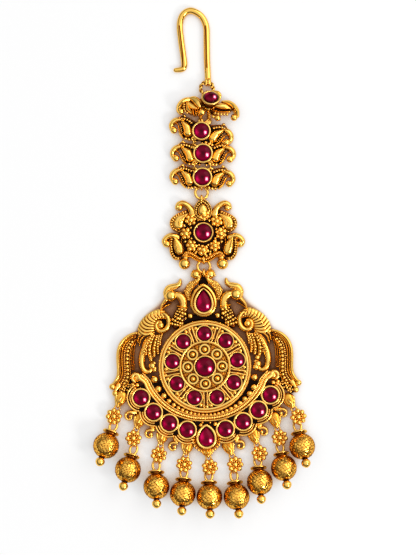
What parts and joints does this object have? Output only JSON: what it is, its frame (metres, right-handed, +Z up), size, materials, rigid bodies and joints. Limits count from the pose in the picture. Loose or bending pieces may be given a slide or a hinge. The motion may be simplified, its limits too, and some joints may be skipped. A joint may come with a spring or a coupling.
{
  "type": "maang tikka",
  "caption": "Forehead jewel that lies flat: wire hair hook, chain of paisley links, rosette, round medallion pendant with peacocks and a crescent of red cabochons, and a fringe of ball drops.",
  "frame": {"origin": "centre of the round medallion on the resting plane", "axes": "+X to the right of the face, +Y towards the hair hook, +Z up out of the face"},
  "size_m": [0.0532, 0.1226, 0.0063],
  "materials": {
    "antique_gold": "antique gold plate, dark in its recesses, bright on its edges",
    "polished_gold": "polished gold-plated wire",
    "hammered_gold": "hammered antique gold plate",
    "ruby": "polished deep red cabochon over foil"
  },
  "bodies": {
    "root": {"centre_stone": "ruby", "crescent_drop_stone": "ruby", "crescent_stone_1": "ruby", "crescent_stone_2": "ruby", "crescent_stone_3": "ruby", "crescent_stone_4": "ruby", "crescent_stone_5": "ruby", "crescent_stone_6": "ruby", "crescent_stone_7": "ruby", "crescent_stone_8": "ruby", "crown_stone": "ruby", "disc_stone_1": "ruby", "disc_stone_2": "ruby", "disc_stone_3": "ruby", "disc_stone_4": "ruby", "disc_stone_5": "ruby", "disc_stone_6": "ruby", "disc_stone_7": "ruby", "disc_stone_8": "ruby", "disc_stone_9": "ruby", "drop_ball_1": "hammered_gold", "drop_ball_2": "hammered_gold", "drop_ball_3": "hammered_gold", "drop_ball_4": "hammered_gold", "drop_ball_5": "hammered_gold", "drop_ball_6": "hammered_gold", "drop_ball_7": "hammered_gold", "drop_ball_8": "hammered_gold", "drop_ball_9": "hammered_gold", "drop_flower_1": "antique_gold", "drop_flower_2": "antique_gold", "drop_flower_3": "antique_gold", "drop_flower_4": "antique_gold", "drop_flower_5": "antique_gold", "drop_flower_6": "antique_gold", "drop_flower_7": "antique_gold", "drop_flower_8": "antique_gold", "drop_flower_9": "antique_gold", "hook_ring": "antique_gold", "hook_wire": "polished_gold", "link_1_plate": "antique_gold", "link_1_stone": "ruby", "link_2_plate": "antique_gold", "link_2_stone": "ruby", "link_3_plate": "antique_gold", "link_3_stone": "ruby", "link_4_plate": "antique_gold", "link_4_stone": "ruby", "link_rings_1_2": "antique_gold", "link_rings_2_3": "antique_gold", "link_rings_3_4": "antique_gold", "pendant_frame": "antique_gold", "ring_link_rosette": "antique_gold", "ring_rosette_pendant": "antique_gold", "rosette_plate": "antique_gold", "rosette_stone": "ruby"}
  },
  "joints": []
}
